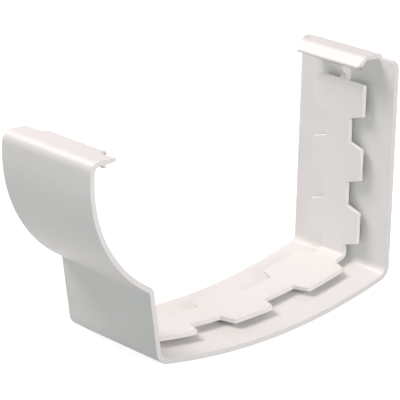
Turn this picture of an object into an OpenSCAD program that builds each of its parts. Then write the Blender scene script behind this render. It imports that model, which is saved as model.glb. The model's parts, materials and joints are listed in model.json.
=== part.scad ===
// Gutter union: one moulding that joins two lengths of ogee gutter end to end.
// The outer shell wraps the two gutter ends from outside. A toothed strip stands off
// its inner face on a thin rib, and the gutter walls slide into the slot between them.
// X runs along the gutter, Y from the front to the wall side, Z up.
// The origin lies under the middle of the moulding, level with its lowest line.

/* [Shell] */
// Length along the gutter run
union_l = 50; // [44:1:80]
// Depth from the front face to the back face
depth = 138.5; // [134:0.5:150]
// Height of the back wall beside the right end of its hook
back_h = 94.3; // [93:0.1:110]
// Thickness of the outer shell
shell_t = 2; // [1.6:0.1:2.4]
// Outside radius of the two bottom bends
bend_r = 5.5; // [4:0.1:7]
// Corner radius at both ends of the back wall's top edge
flange_r = 3; // [0.5:0.1:4]

/* [Bowed bottom] */
// Outside radius of the bottom
bottom_r = 219; // [180:1:300]
// Distance from the back face to the lowest line
low_y = 76.7; // [68:0.1:85]

/* [Front wall] */
// Outside radius of the quarter round
round_r = 48.6; // [46:0.1:52]
// Height of the quarter round's centre
round_z = 72; // [70:0.1:74]
// Angle of the crease below the level of the quarter round's centre
crease_a = 62.5; // [58:0.1:66]
// Fillet in the crease
crease_r = 2; // [1:0.1:3]
// Lean of the lower band from the vertical
band_lean = 9.35; // [5:0.05:12]

/* [Front lip] */
// Height of the front lip
front_h = 79; // [78.5:0.1:84]
// Outside radius of the edge between front wall and lip
lip_r = 4.2; // [3:0.1:5]
// Reach of the lip from the front face
lip_reach = 10.8; // [8:0.1:12]
// Thickness of the lip at its tip
lip_tip = 1.4; // [1:0.1:2]

/* [Toothed strip] */
// Width of the slot that takes the gutter wall
slot = 1.75; // [1.4:0.05:2.2]
// Thickness of the strip
strip_t = 1.8; // [1.4:0.1:2.2]
// Inside radius of the strip's two bottom bends
strip_bend_r = 1.2; // [0.8:0.1:2]
// Width of the strip between opposite notches
core_w = 12; // [8:0.5:16]
// Width of the strip across two teeth
strip_w = 25.4; // [22:0.2:30]
// Height of the strip's end on the back wall
strip_top = 83.7; // [82:0.1:85]
// Height of the strip's end on the front wall
strip_front_top = 66.8; // [64:0.1:70]
// Width of the rib that carries the strip
rib_w = 3.6; // [2:0.1:6]

/* [Teeth] */
// How much a tooth narrows on each flank
flank = 1.9; // [1:0.05:3]
// Length of a tooth tip on the back and front walls
wall_tip = 11.8; // [9:0.1:12.4]
// Pitch of the teeth on the back and front walls
wall_pitch = 24.1; // [22:0.1:25]
// Height of the lowest tooth on the back wall
wall_first = 29.4; // [28:0.1:31]
// Length of a tooth tip on the bottom
bottom_tip = 17.3; // [14:0.1:20]
// Pitch of the teeth on the bottom
bottom_pitch = 35; // [33:0.1:36]
// Distance from the back face to the middle tooth on the bottom
bottom_mid = 54; // [52:0.1:56]
// Distance along the quarter round from the crease to the middle of its lowest tooth
round_gap = 15.2; // [12:0.1:16]

/* [Hooks] */
// Length of the front hook, and of the back hook's symmetrical part
hook_l = 31.5; // [24:0.5:34]
// How much further the back hook runs to the left
hook_more = 3.2; // [0.4:0.1:4]
// How far the back hook, and the back wall to its left, stand above the rest of that wall
hook_rise = 1; // [0.3:0.1:1.5]
// Thickness of both hooks
hook_t = 1.5; // [1.3:0.1:2]
// Reach of the back hook from the back face to its nose
hook_reach = 11.3; // [10:0.1:12]
// Depth of the back hook's nose below its top
hook_drop = 3.9; // [3.5:0.1:5]
// Slope of the nose from the vertical
nose_lean = 41; // [30:1:45]
// Reach of the front hook from the front face
catch_reach = 14; // [12.5:0.1:15]
// Depth of the front hook's leg below the lip
catch_drop = 6.2; // [5:0.1:8]
// Radius on the edge between the back hook's top and its nose
hook_r = 2.4; // [0.5:0.1:2.8]
// Radius on the edge between the front lip and the front hook's leg
catch_r = 1.9; // [0.5:0.1:2.2]
// Radius of the back hook's end corners, seen from above
nose_end_r = 2.8; // [1:0.1:3.5]
// Radius of the front hook's end corners, seen from above
catch_end_r = 0.6; // [0.4:0.1:2.5]
// Height of a gusset's foot above the strip's end
gusset_foot = 1.6; // [1:0.1:4]
// Slope of a gusset's free edge from the horizontal
gusset_slope = 40; // [30:1:50]

/* [Hidden] */
$fa = 2;
$fs = 0.35;
sky = 200;
// How far a fillet's circle reaches past the lines that it joins
kiss = 0.02;

// Depths below the outer surface of the strip's rear face and front face
strip_rear = shell_t + slot;
strip_face = strip_rear + strip_t;
hook_top = back_h + hook_rise;
clear = 1;

// The section is drawn as [y, z] with the back face at y = 0 and the front at y = -depth.
round_c = [-(depth - round_r), round_z];
bottom_c = [-low_y, bottom_r];
crease = round_c - round_r * [cos(crease_a), sin(crease_a)];
crease_z = crease[1];
band_up = [-sin(band_lean), cos(band_lean)];
band_in = [cos(band_lean), sin(band_lean)];

function unit(v) = v / norm(v);

// Centre of a bend of radius r between the bottom and the back wall, at depth d
function back_bend(d, r) =
    let (y = -d - r)
    [y, bottom_r - sqrt(pow(bottom_r - d - r, 2) - pow(y + low_y, 2))];

// Where the line from p along v meets the circle about c with radius r, lower crossing
function line_meets(p, v, c, r) =
    let (w = p - c, b = w * v, q = w * w - r * r)
    p + (-b - sqrt(b * b - q)) * v;

// Centre of a bend of radius r between the bottom and the lower band, at depth d
function front_bend(d, r) =
    line_meets(crease + (d + r) * band_in, band_up, bottom_c, bottom_r - d - r);

// Centre of the crease fillet, outside the shell
crease_c = line_meets(crease - crease_r * band_in, band_up, round_c, round_r + crease_r);

// Trims one inner corner of a region to a radius, between the foot points a and b
module round_off(c, a, b, r) {
    difference() {
        polygon([c, c + 1.6 * (a - c), c + 1.6 * (a - c) + 1.6 * (b - c), c + 1.6 * (b - c)]);
        translate(c) circle(r + kiss);
    }
}

// Everything inside the gutter section at depth d below the outer surface.
// The bottom bends get the radius r, the crease keeps its own centre.
module inside_at(d, r) {
    bc = back_bend(d, r);
    fc = front_bend(d, r);
    foot = crease + d * band_in;
    ct = crease_c + (crease_r + d) * band_in;
    cr = crease_c + (crease_r + d) * unit(round_c - crease_c);
    difference() {
        union() {
            // Bowed bottom between the band and the back wall
            intersection() {
                translate(bottom_c) circle(bottom_r - d);
                polygon([foot - 2 * crease_z * band_up, foot + crease_z / 2 * band_up,
                    [-d, (foot + crease_z / 2 * band_up)[1]], [-d, (foot - 2 * crease_z * band_up)[1]]]);
            }
            // Quarter round
            intersection() {
                translate(round_c) circle(round_r - d);
                translate([-depth, round_z - round_r]) square([depth, round_r]);
            }
            // Space above the quarter round and in front of the back wall
            translate([-depth + d, round_z]) square([depth - 2 * d, sky - round_z]);
            translate([round_c[0], crease_z]) square([-round_c[0] - d, sky - crease_z]);
            // Fillet in the crease
            difference() {
                polygon([crease_c, ct, ct + cr - crease_c, cr]);
                translate(crease_c) circle(crease_r + d + kiss);
            }
        }
        round_off(bc, [-d, bc[1]], bc + r * unit(bc - bottom_c), r);
        round_off(fc, fc - r * band_in, fc + r * unit(fc - bottom_c), r);
    }
}

// Keeps the front of a section below one height and the back below another
module below(front_z, back_z) {
    intersection() {
        children();
        union() {
            translate([-depth - clear, -clear]) square([depth / 2 + clear, front_z + clear]);
            translate([-depth / 2, -clear]) square([depth / 2 + clear, back_z + clear]);
        }
    }
}

// Turns a [y, z] section into a solid of length l along X
module along_run(l) {
    rotate([90, 0, 90]) linear_extrude(l, center = true) children();
}

// Wall of the shell, from the lip's edge radius round to the top of the back wall
module shell_section() {
    below(front_h - lip_r, hook_top)
        difference() {
            inside_at(0, bend_r);
            inside_at(shell_t, bend_r - shell_t);
        }
}

// Rounded front edge and the tapered lip behind it
module lip_section() {
    edge = [-depth + lip_r, front_h - lip_r];
    tip = -depth + lip_reach - lip_tip / 2;
    intersection() {
        translate(edge) difference() {
            circle(lip_r);
            circle(lip_r - shell_t);
        }
        translate(edge - [lip_r + clear, 0]) square([lip_r + clear, lip_r + clear]);
    }
    polygon([[edge[0], front_h], [tip, front_h], [tip, front_h - lip_tip],
        [edge[0], front_h - shell_t]]);
    translate([tip, front_h - lip_tip / 2]) circle(lip_tip / 2);
}

// Upright block through the whole depth, from x0 to x1, as high as z
module upright(x0, x1, z) {
    translate([x0, -depth - clear, -clear]) cube([x1 - x0, depth + 2 * clear, z + clear]);
}

// Rounds one top corner of the back wall: its centre lies at x and z
module wall_corner(x, z) {
    translate([x, clear, z]) rotate([90, 0, 0]) cylinder(h = depth + 2 * clear, r = flange_r);
}

// Outer shell. The top edge of its back wall is rounded off at both ends, and it stands
// lower to the right of the hook.
module shell() {
    end = union_l / 2;
    intersection() {
        along_run(union_l) shell_section();
        union() {
            upright(-end, end, back_h - flange_r);
            upright(0, end - flange_r, back_h);
            wall_corner(end - flange_r, back_h - flange_r);
            upright(-end, hook_l / 2, hook_top - flange_r);
            upright(-end + flange_r, hook_l / 2, hook_top + clear);
            wall_corner(-end + flange_r, hook_top - flange_r);
        }
    }
    along_run(union_l) lip_section();
}

// Places a tooth on the section: p is its place, a the slope of the wall there
module at_wall(p, a) {
    translate([0, p[0], p[1]]) rotate([a, 0, 0]) children();
}

// Prism with the outline of a pair of opposite teeth, across the strip
module tooth_pair(tip) {
    w = strip_w / 2 + clear;
    c = core_w / 2 - clear;
    // The flank's line, carried on past the tip and into the core
    slope = flank / (strip_w / 2 - core_w / 2);
    s = tip / 2 - slope * clear;
    r = tip / 2 + flank + slope * clear;
    linear_extrude(3 * strip_face, center = true)
        polygon([[-w, -s], [-c, -r], [c, -r], [w, -s], [w, s], [c, r], [-c, r], [-w, s]]);
}

// Outline of the whole strip: the core and the teeth that grow from it
module strip_outline() {
    mid = (strip_rear + strip_face) / 2;
    arc = 180 / PI;
    bottom_mid_a = asin((low_y - bottom_mid) / (bottom_r - mid));
    // Notches lie in the crease and in both bends, so teeth start beside them
    round_first = crease_a - round_gap * arc / (round_r - mid);
    band_foot = front_bend(mid, strip_bend_r + strip_t / 2) - (strip_bend_r + strip_t / 2) * band_in;
    band_head = crease + mid * band_in;
    translate([-core_w / 2, -depth, -clear]) cube([core_w, depth, strip_top + clear]);
    // Back wall
    for (k = [0:2])
        at_wall([-mid, wall_first + k * wall_pitch], 90) tooth_pair(wall_tip);
    // Bottom
    for (k = [-1:1]) {
        a = bottom_mid_a + k * bottom_pitch * arc / (bottom_r - mid);
        at_wall(bottom_c + (bottom_r - mid) * [sin(a), -cos(a)], a) tooth_pair(bottom_tip);
    }
    // Lower band of the front wall
    at_wall((band_foot + band_head) / 2, band_lean - 90) tooth_pair(wall_tip);
    // Quarter round
    for (k = [0:1]) {
        a = round_first - k * wall_pitch * arc / (round_r - mid);
        at_wall(round_c - (round_r - mid) * [cos(a), sin(a)], a - 90) tooth_pair(wall_tip);
    }
}

// Strip that stands off the shell and follows it all round
module toothed_strip() {
    intersection() {
        along_run(strip_w)
            below(strip_front_top, strip_top)
                difference() {
                    inside_at(strip_rear, strip_bend_r + strip_t);
                    inside_at(strip_face, strip_bend_r);
                }
        strip_outline();
    }
}

// Rib that carries the strip, with a gusset under each hook
module rib() {
    along_run(rib_w) {
        below(strip_front_top, strip_top)
            difference() {
                inside_at(shell_t / 2, bend_r - shell_t / 2);
                inside_at(strip_rear + strip_t / 2, strip_bend_r + strip_t / 2);
            }
        back_gusset_section();
        front_gusset_section();
    }
}

// Gusset from the rib up to the back hook's nose
module back_gusset_section() {
    z = strip_top + gusset_foot;
    reach = hook_reach - hook_t / 2 - strip_rear;
    run = hook_drop * tan(nose_lean);
    polygon([[-shell_t / 2, strip_top - clear], [-strip_rear, strip_top - clear],
        [-strip_rear, z],
        [-strip_rear - reach, min(z + reach * tan(gusset_slope), hook_top - hook_drop + hook_t)],
        [-hook_reach + run, hook_top - hook_t / 2], [-shell_t / 2, hook_top - hook_t / 2]]);
}

// Gusset from the rib up to the front hook's leg
module front_gusset_section() {
    z = strip_front_top + gusset_foot;
    y = -depth + strip_rear;
    reach = catch_reach - hook_t / 2 - strip_rear;
    polygon([[-depth + shell_t / 2, strip_front_top - clear], [y, strip_front_top - clear],
        [y, z], [y + reach, min(z + reach * tan(gusset_slope), front_h - hook_t)],
        [y + reach, front_h - hook_t / 2], [-depth + lip_r, front_h - hook_t / 2],
        [-depth + shell_t / 2, front_h - lip_r]]);
}

// Hook over the back edge of the gutter: a flat top with a sloped nose
module back_hook_section() {
    nose_in = [cos(nose_lean), -sin(nose_lean)];
    nose_down = [-sin(nose_lean), -cos(nose_lean)];
    // Outer corner between top and nose, and the way from it to the inner corner
    corner = [-hook_reach + hook_drop * tan(nose_lean), hook_top];
    inward = (nose_in + [0, -1]) / (1 + sin(nose_lean));
    edge_c = corner + hook_r * inward;
    tip_c = [-hook_reach, hook_top - hook_drop] + (hook_t / 2) * (nose_in - nose_down);
    difference() {
        polygon([[0, hook_top], [0, hook_top - hook_rise - clear], [-shell_t, hook_top - hook_t - clear],
            [-shell_t, hook_top - hook_t], corner + hook_t * inward,
            tip_c + (hook_t / 2) * nose_in, tip_c - (hook_t / 2) * nose_in, corner]);
        round_off(edge_c, edge_c + [0, hook_r], edge_c - hook_r * nose_in, hook_r);
    }
    translate(tip_c) circle(hook_t / 2 + kiss);
}

// Hook behind the front edge of the gutter: the lip carried on, with a leg
module front_hook_section() {
    y0 = -depth + lip_r;
    y1 = -depth + catch_reach;
    foot = front_h - catch_drop;
    edge_c = [y1 - catch_r, front_h - catch_r];
    difference() {
        polygon([[y0, front_h], [y1, front_h], [y1, foot], [y1 - hook_t, foot],
            [y1 - hook_t, front_h - hook_t], [y0, front_h - hook_t]]);
        round_off(edge_c, edge_c + [catch_r, 0], edge_c + [0, catch_r], catch_r);
    }
}

// Upright block with the plan of a hook of length l: from y0 to y1 along s, with two
// corners rounded to r
module hook_plan(l, y0, y1, s, r) {
    w = l / 2 - r;
    foot = front_h / 2;
    for (e = [-1, 1])
        translate([e * w, y1 - s * r, foot]) cylinder(h = sky - foot, r = r);
    translate([-w, min(y0, y1), foot]) cube([2 * w, abs(y1 - y0), sky - foot]);
    translate([-l / 2, min(y0, y1 - s * r), foot]) cube([l, abs(y1 - s * r - y0), sky - foot]);
}

module gutter_union() {
    color("white")
        translate([0, depth / 2, 0]) {
            shell();
            toothed_strip();
            rib();
            translate([-hook_more / 2, 0, 0]) intersection() {
                along_run(hook_l + hook_more) back_hook_section();
                hook_plan(hook_l + hook_more, clear, -hook_reach, -1, nose_end_r);
            }
            intersection() {
                along_run(hook_l) front_hook_section();
                hook_plan(hook_l, -depth - clear, -depth + catch_reach, 1, catch_end_r);
            }
        }
}

gutter_union();
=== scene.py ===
# %% [markdown]
# # A gutter union, dressed for a product photograph
#
# The union joins two lengths of ogee gutter end to end. It is one injection moulding in
# white PVC: a shell that wraps the gutter from outside, and a toothed strip that stands off
# the shell on a thin rib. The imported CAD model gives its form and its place, in metres, with
# +X along the gutter, +Y from the front to the wall side and +Z up. This lesson gives it
# the small things that a photograph shows: edges that the mould left slightly round, a
# satin skin, soft studio light and a camera at the photograph's angle.

import json
import math

import bmesh
import bpy
from mathutils import Matrix, Vector

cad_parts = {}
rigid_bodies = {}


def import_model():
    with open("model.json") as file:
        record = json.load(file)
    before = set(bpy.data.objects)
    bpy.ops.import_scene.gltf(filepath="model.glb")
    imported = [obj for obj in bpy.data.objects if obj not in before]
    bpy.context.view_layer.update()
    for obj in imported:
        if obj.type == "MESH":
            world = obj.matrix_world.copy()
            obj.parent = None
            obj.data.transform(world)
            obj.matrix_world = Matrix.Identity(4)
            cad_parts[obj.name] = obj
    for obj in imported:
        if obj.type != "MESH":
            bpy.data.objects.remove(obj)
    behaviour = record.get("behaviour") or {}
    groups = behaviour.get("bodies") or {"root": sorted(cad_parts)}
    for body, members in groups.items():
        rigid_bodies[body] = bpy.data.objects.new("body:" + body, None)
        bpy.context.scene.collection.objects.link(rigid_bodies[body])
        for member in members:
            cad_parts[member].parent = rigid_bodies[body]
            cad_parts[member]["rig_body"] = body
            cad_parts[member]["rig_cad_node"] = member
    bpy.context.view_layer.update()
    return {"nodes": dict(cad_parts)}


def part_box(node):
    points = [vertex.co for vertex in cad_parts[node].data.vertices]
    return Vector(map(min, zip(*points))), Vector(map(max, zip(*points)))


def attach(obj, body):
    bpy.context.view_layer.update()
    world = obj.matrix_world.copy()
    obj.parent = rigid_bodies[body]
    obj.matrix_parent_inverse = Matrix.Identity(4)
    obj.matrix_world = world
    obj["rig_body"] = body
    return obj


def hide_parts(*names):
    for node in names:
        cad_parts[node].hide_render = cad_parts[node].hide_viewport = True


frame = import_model()
low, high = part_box("gutter_union")
print("union, mm:", [round((b - a) * 1000, 2) for a, b in zip(low, high)])

# %% [markdown]
# ## A copy that can be worked on
#
# The CAD node is a mesh of loose triangles, and it stays as it is. A moulded piece never has
# knife edges, because the steel of the mould is milled with small radii. Those could be faked
# with a bevel in the shader, but then the outline would stay sharp and the exported mesh
# would have none. So a copy is made, its triangles are merged into one closed skin, and flat
# areas become single faces, which leaves only the real edges to round.

# %% Copy the node and merge it into one skin
MERGE = 0.00012         # 0.12 mm, under half of the edge radius that follows
FLAT = math.radians(0.3)


def only(piece):
    """Makes this piece the one that operators act on."""
    bpy.ops.object.select_all(action="DESELECT")
    piece.select_set(True)
    bpy.context.view_layer.objects.active = piece


only(frame["nodes"]["gutter_union"])
bpy.ops.object.duplicate()
union = bpy.context.view_layer.objects.active
union.name = union.data.name = "union_moulding"
union.parent = None
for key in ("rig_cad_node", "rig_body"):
    del union[key]

bpy.ops.object.mode_set(mode="EDIT")
bpy.ops.mesh.select_all(action="SELECT")
bpy.ops.mesh.remove_doubles(threshold=MERGE)
bpy.ops.mesh.dissolve_limited(angle_limit=FLAT)
bpy.ops.object.mode_set(mode="OBJECT")
print("merged skin:", len(union.data.vertices), "points,", len(union.data.polygons), "faces")

# %% [markdown]
# ## A narrower strip in the front bend
#
# On the photographed union the front wall's end hides the strip behind it, all the way down.
# The model's strip is a little too wide for that where it turns through the bend in the
# front wall, so its two edges are slid towards the middle there. A scale would also thin the
# strip, so the points of each edge are moved instead.

# %% Narrow the strip where it goes through the bend
NARROWER = 0.0021       # 6 mm from the middle becomes 3.9 mm; the rib under it has 1.8 mm
points = union.data.vertices
for side in (1, -1):
    bpy.ops.object.mode_set(mode="EDIT")
    bpy.ops.mesh.select_mode(type="VERT")
    bpy.ops.mesh.select_all(action="DESELECT")
    bpy.ops.object.mode_set(mode="OBJECT")
    edge_points = [p for p in points if 0.0059 < p.co.x * side < 0.0061
                   and -0.0485 < p.co.y < -0.036 and 0.0275 < p.co.z < 0.0377]
    for p in edge_points:
        p.select = True
    bpy.ops.object.mode_set(mode="EDIT")
    bpy.ops.transform.translate(value=(-NARROWER * side, 0, 0))
    bpy.ops.object.mode_set(mode="OBJECT")
    print("strip's edge: moved", len(edge_points), "points")

# %% [markdown]
# ## The rounded edges of a moulding
#
# Every sharp edge gets a radius of about 0.3 mm, as on the real one, where a thin bright
# line runs along the shell's cut ends and the tips of the teeth. Edges are chosen by the
# angle between their faces, so the facets of a bend are left out. A bevel wider than the
# edges beside it would fold over itself. That is why the copy was merged at 0.12 mm, and why
# two small places are left as the model has them: they are rounded there already.
#
# Two segments are enough, because the normals are smoothed over them afterwards. The big
# flat faces would still bend their shading towards the rounds, so the Weighted Normal
# modifier gives each face a say by its size.

# %% Round the sharp edges
EDGE_RADIUS = 0.0003
SHARP = math.radians(30)
# Left as they are: the rounded corners of the back hook's nose, and the whole front hook,
# whose own rounds are made of edges under 0.2 mm long
CROWDED = [((0.0149, 0.0588, 0.0913), 0.0013), ((-0.0181, 0.0588, 0.0913), 0.0013)]
HOOK_LOW, HOOK_HIGH = (-0.0161, -0.0593, 0.0720), (0.0161, -0.0550, 0.0793)

bpy.ops.object.mode_set(mode="EDIT")
bpy.ops.mesh.select_mode(type="EDGE")
bpy.ops.mesh.select_all(action="DESELECT")
bpy.ops.mesh.edges_select_sharp(sharpness=SHARP)
bpy.ops.object.mode_set(mode="OBJECT")
points = union.data.vertices
for edge in union.data.edges:
    middle = (points[edge.vertices[0]].co + points[edge.vertices[1]].co) / 2
    if any((middle - Vector(place)).length < reach for place, reach in CROWDED):
        edge.select = False
    if all(a < c < b for a, c, b in zip(HOOK_LOW, middle, HOOK_HIGH)):
        edge.select = False
bpy.ops.object.mode_set(mode="EDIT")
bpy.ops.mesh.bevel(offset=EDGE_RADIUS, offset_type="OFFSET", segments=2, clamp_overlap=False,
                   harden_normals=False)
bpy.ops.mesh.select_all(action="SELECT")
bpy.ops.mesh.dissolve_degenerate(threshold=0.00001)
bpy.ops.object.mode_set(mode="OBJECT")
bpy.ops.object.shade_smooth_by_angle(angle=math.radians(50))
bpy.ops.object.modifier_add(type="WEIGHTED_NORMAL")
even = union.modifiers[-1]
even.weight = 100
even.keep_sharp = True
bpy.ops.object.modifier_apply(modifier=even.name)
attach(union, "root")
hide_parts("gutter_union")
print("rounded skin:", len(union.data.vertices), "points,", len(union.data.polygons), "faces")

# %% [markdown]
# ## White PVC, injection moulded
#
# Rigid PVC for gutters is filled with titanium dioxide, so it is an opaque, slightly warm
# white. Its skin copies the polished steel of the mould: a satin gloss, with a very
# shallow waviness where the plastic shrank as it cooled, and a fine grain that the eye
# only sees as a soft edge to the highlights. Both are drawn in Object coordinates, which
# are metres here, so a pattern that repeats every 9 mm has a scale of 1 / 0.009.

# %% Materials
def linear(hex_colour):
    """An sRGB hex colour as linear RGBA."""
    parts = [int(hex_colour[i:i + 2], 16) / 255 for i in (1, 3, 5)]
    return [c / 12.92 if c <= 0.04045 else ((c + 0.055) / 1.055) ** 2.4 for c in parts] + [1.0]


def add(tree, kind, settings=None, **links):
    """Adds a node, with its settings and its links, given as socket=(node, output)."""
    node = tree.nodes.new(kind)
    for name, value in (settings or {}).items():
        if name in node.inputs:
            node.inputs[name].default_value = value
        else:
            setattr(node, name, value)
    for name, (source, output) in links.items():
        tree.links.new(source.outputs[output], node.inputs[name.replace("_", " ")])
    return node


def new_material(name):
    """An empty material, its node tree and its output node."""
    material = bpy.data.materials.new(name)
    material.use_nodes = True
    tree = material.node_tree
    tree.nodes.clear()
    return material, tree, tree.nodes.new("ShaderNodeOutputMaterial")


# Rigid PVC, moulded against polished steel: IOR about 1.54, a satin gloss
pvc, tree, out = new_material("white_pvc_moulded")
place = add(tree, "ShaderNodeTexCoord")
cloud = add(tree, "ShaderNodeTexNoise", {"Scale": 1 / 0.030, "Detail": 2.0},
            Vector=(place, "Object"))
shade = add(tree, "ShaderNodeValToRGB", Fac=(cloud, "Fac"))
shade.color_ramp.elements[0].position = 0.3
shade.color_ramp.elements[1].position = 0.7
shade.color_ramp.elements[0].color = linear("#EDEBE7")
shade.color_ramp.elements[1].color = linear("#F1EFEC")
gloss = add(tree, "ShaderNodeMapRange", {"To Min": 0.38, "To Max": 0.44},
            Value=(cloud, "Fac"))
wave = add(tree, "ShaderNodeTexNoise", {"Scale": 1 / 0.009, "Detail": 1.0},
           Vector=(place, "Object"))
grain = add(tree, "ShaderNodeTexNoise", {"Scale": 1 / 0.0006, "Detail": 2.0},
            Vector=(place, "Object"))
wavy = add(tree, "ShaderNodeBump", {"Strength": 0.25, "Distance": 0.0001},
           Height=(wave, "Fac"))
skin = add(tree, "ShaderNodeBump", {"Strength": 0.15, "Distance": 0.00002},
           Height=(grain, "Fac"), Normal=(wavy, "Normal"))
plastic = add(tree, "ShaderNodeBsdfPrincipled", {"IOR": 1.54, "Metallic": 0.0},
              Base_Color=(shade, "Color"), Roughness=(gloss, "Result"),
              Normal=(skin, "Normal"))
tree.links.new(plastic.outputs["BSDF"], out.inputs["Surface"])
union.data.materials.clear()
union.data.materials.append(pvc)

# %% [markdown]
# ## Floor and surroundings
#
# The photograph is taken on white and shows no horizon, so the floor has to look white to
# the camera without shining on the object. The floor is a plain white matt sheet that keeps
# the object's shadow. White light is added to it only for rays that the eye would see, which
# the Light Path node tells apart: those from the camera, from a reflection or through a
# clear material. A stronger lamp would whiten the floor too, but it would also burn out the
# white plastic. The world is white for the same rays, and a dim room for all the others.

# %% Floor
FLOOR_SIDE = 8.0        # metres: far more than the camera sees
PAPER = 0.53            # how much of the light the sheet gives back, as the fitted light asks
FLOOR_GLOW = 0.86       # the lamps add the rest, except in the object's shadow

bpy.ops.mesh.primitive_plane_add(size=FLOOR_SIDE, location=(0, 0, 0))
floor = bpy.context.active_object
floor.name = floor.data.name = "studio_floor"

paper, tree, out = new_material("matt_white_paper")
sheet = add(tree, "ShaderNodeBsdfDiffuse", {"Color": (PAPER, PAPER, PAPER, 1), "Roughness": 0.5})
seen = add(tree, "ShaderNodeLightPath")
either = add(tree, "ShaderNodeMath", {"operation": "MAXIMUM"})
tree.links.new(seen.outputs["Is Camera Ray"], either.inputs[0])
tree.links.new(seen.outputs["Is Glossy Ray"], either.inputs[1])
both = add(tree, "ShaderNodeMath", {"operation": "MAXIMUM"})
tree.links.new(either.outputs[0], both.inputs[0])
tree.links.new(seen.outputs["Is Transmission Ray"], both.inputs[1])
dim = add(tree, "ShaderNodeMath", {"operation": "MULTIPLY"}, Value=(both, "Value"))
dim.inputs[1].default_value = FLOOR_GLOW
glow = add(tree, "ShaderNodeEmission", {"Color": (1, 1, 1, 1)}, Strength=(dim, "Value"))
total = add(tree, "ShaderNodeAddShader")
tree.links.new(sheet.outputs[0], total.inputs[0])
tree.links.new(glow.outputs[0], total.inputs[1])
tree.links.new(total.outputs[0], out.inputs["Surface"])
floor.data.materials.append(paper)

# %% World
world = bpy.data.worlds.new("white_studio")
bpy.context.scene.world = world
world.use_nodes = True
tree = world.node_tree
tree.nodes.clear()
out = tree.nodes.new("ShaderNodeOutputWorld")
seen = add(tree, "ShaderNodeLightPath")
either = add(tree, "ShaderNodeMath", {"operation": "MAXIMUM"})
tree.links.new(seen.outputs["Is Camera Ray"], either.inputs[0])
tree.links.new(seen.outputs["Is Glossy Ray"], either.inputs[1])
both = add(tree, "ShaderNodeMath", {"operation": "MAXIMUM"})
tree.links.new(either.outputs[0], both.inputs[0])
tree.links.new(seen.outputs["Is Transmission Ray"], both.inputs[1])
room = add(tree, "ShaderNodeBackground", {"Color": (0.189, 0.219, 0.211, 1), "Strength": 1.0})
white = add(tree, "ShaderNodeBackground", {"Color": (1, 1, 1, 1), "Strength": 1.0})
pick = add(tree, "ShaderNodeMixShader", Fac=(both, "Value"))
tree.links.new(room.outputs[0], pick.inputs[1])
tree.links.new(white.outputs[0], pick.inputs[2])
tree.links.new(pick.outputs[0], out.inputs["Surface"])

# %% [markdown]
# ## Light
#
# Soft boxes stand round the table, each an area lamp that faces the middle of the object.
# The key stands high on the left and gives the bright line along the front lip and the back
# hook's nose: it has to stand on the far side from the camera, or the line would not reach
# the near end of the lip. The right one lights the inside of the back wall's end and the cut
# ends. A weak cool one in front on the right keeps the lower front wall a neutral grey, and
# one low on the left keeps the hollows open. The room light is what fills the shadows under
# the strip. All are dim enough for the white plastic to stay just under white, but for the
# line along the lip.

# %% Lamps
MIDDLE = Vector((0, 0, 0.045))


def soft_box(name, place, side, watts, colour):
    """A square area lamp at that place, turned towards the middle of the union."""
    bpy.ops.object.light_add(type="AREA", location=place)
    lamp = bpy.context.active_object
    lamp.name = lamp.data.name = name
    lamp.rotation_euler = (MIDDLE - Vector(place)).to_track_quat("-Z", "Y").to_euler()
    lamp.data.shape = "SQUARE"
    lamp.data.size = side
    lamp.data.energy = watts
    lamp.data.color = colour
    return lamp


soft_box("key", (-0.38, -0.25, 0.60), 0.38, 4.00, (1.0, 0.862, 0.883))
soft_box("left", (-0.70, 0.0, 0.14), 0.30, 1.38, (1.0, 0.941, 0.902))
soft_box("right", (0.70, 0.0, 0.29), 0.30, 2.62, (1.0, 0.897, 0.932))
soft_box("front_right", (0.42, -0.54, 0.14), 0.30, 0.52, (0.604, 0.984, 1.0))

# %% [markdown]
# ## Camera
#
# The camera stands where the photograph's did: to the right and in front of the object,
# slightly above it, far away with a long lens, so that parallel edges hardly converge.
# It is rolled a little, as the picture's verticals lean.

# %% Camera
CAMERA_PLACE = Vector((0.668079, -0.563233, 0.311868))
AZIMUTH, ELEVATION, ROLL = (math.radians(d) for d in (49.9236, 16.7851, 1.6618))

right = Vector((math.cos(AZIMUTH), math.sin(AZIMUTH), 0))
back = Vector((math.sin(AZIMUTH) * math.cos(ELEVATION),
               -math.cos(AZIMUTH) * math.cos(ELEVATION), math.sin(ELEVATION)))
turn = Matrix.Rotation(ROLL, 3, back)
right = turn @ right
up = back.cross(right)
bpy.ops.object.camera_add(location=CAMERA_PLACE)
camera = bpy.context.active_object
camera.name = camera.data.name = "photo_camera"
camera.rotation_euler = Matrix((right, up, back)).transposed().to_euler()
camera.data.sensor_width = 36
camera.data.lens = 232.556
bpy.context.scene.camera = camera

# %% Colour management
bpy.context.scene.view_settings.view_transform = "Standard"
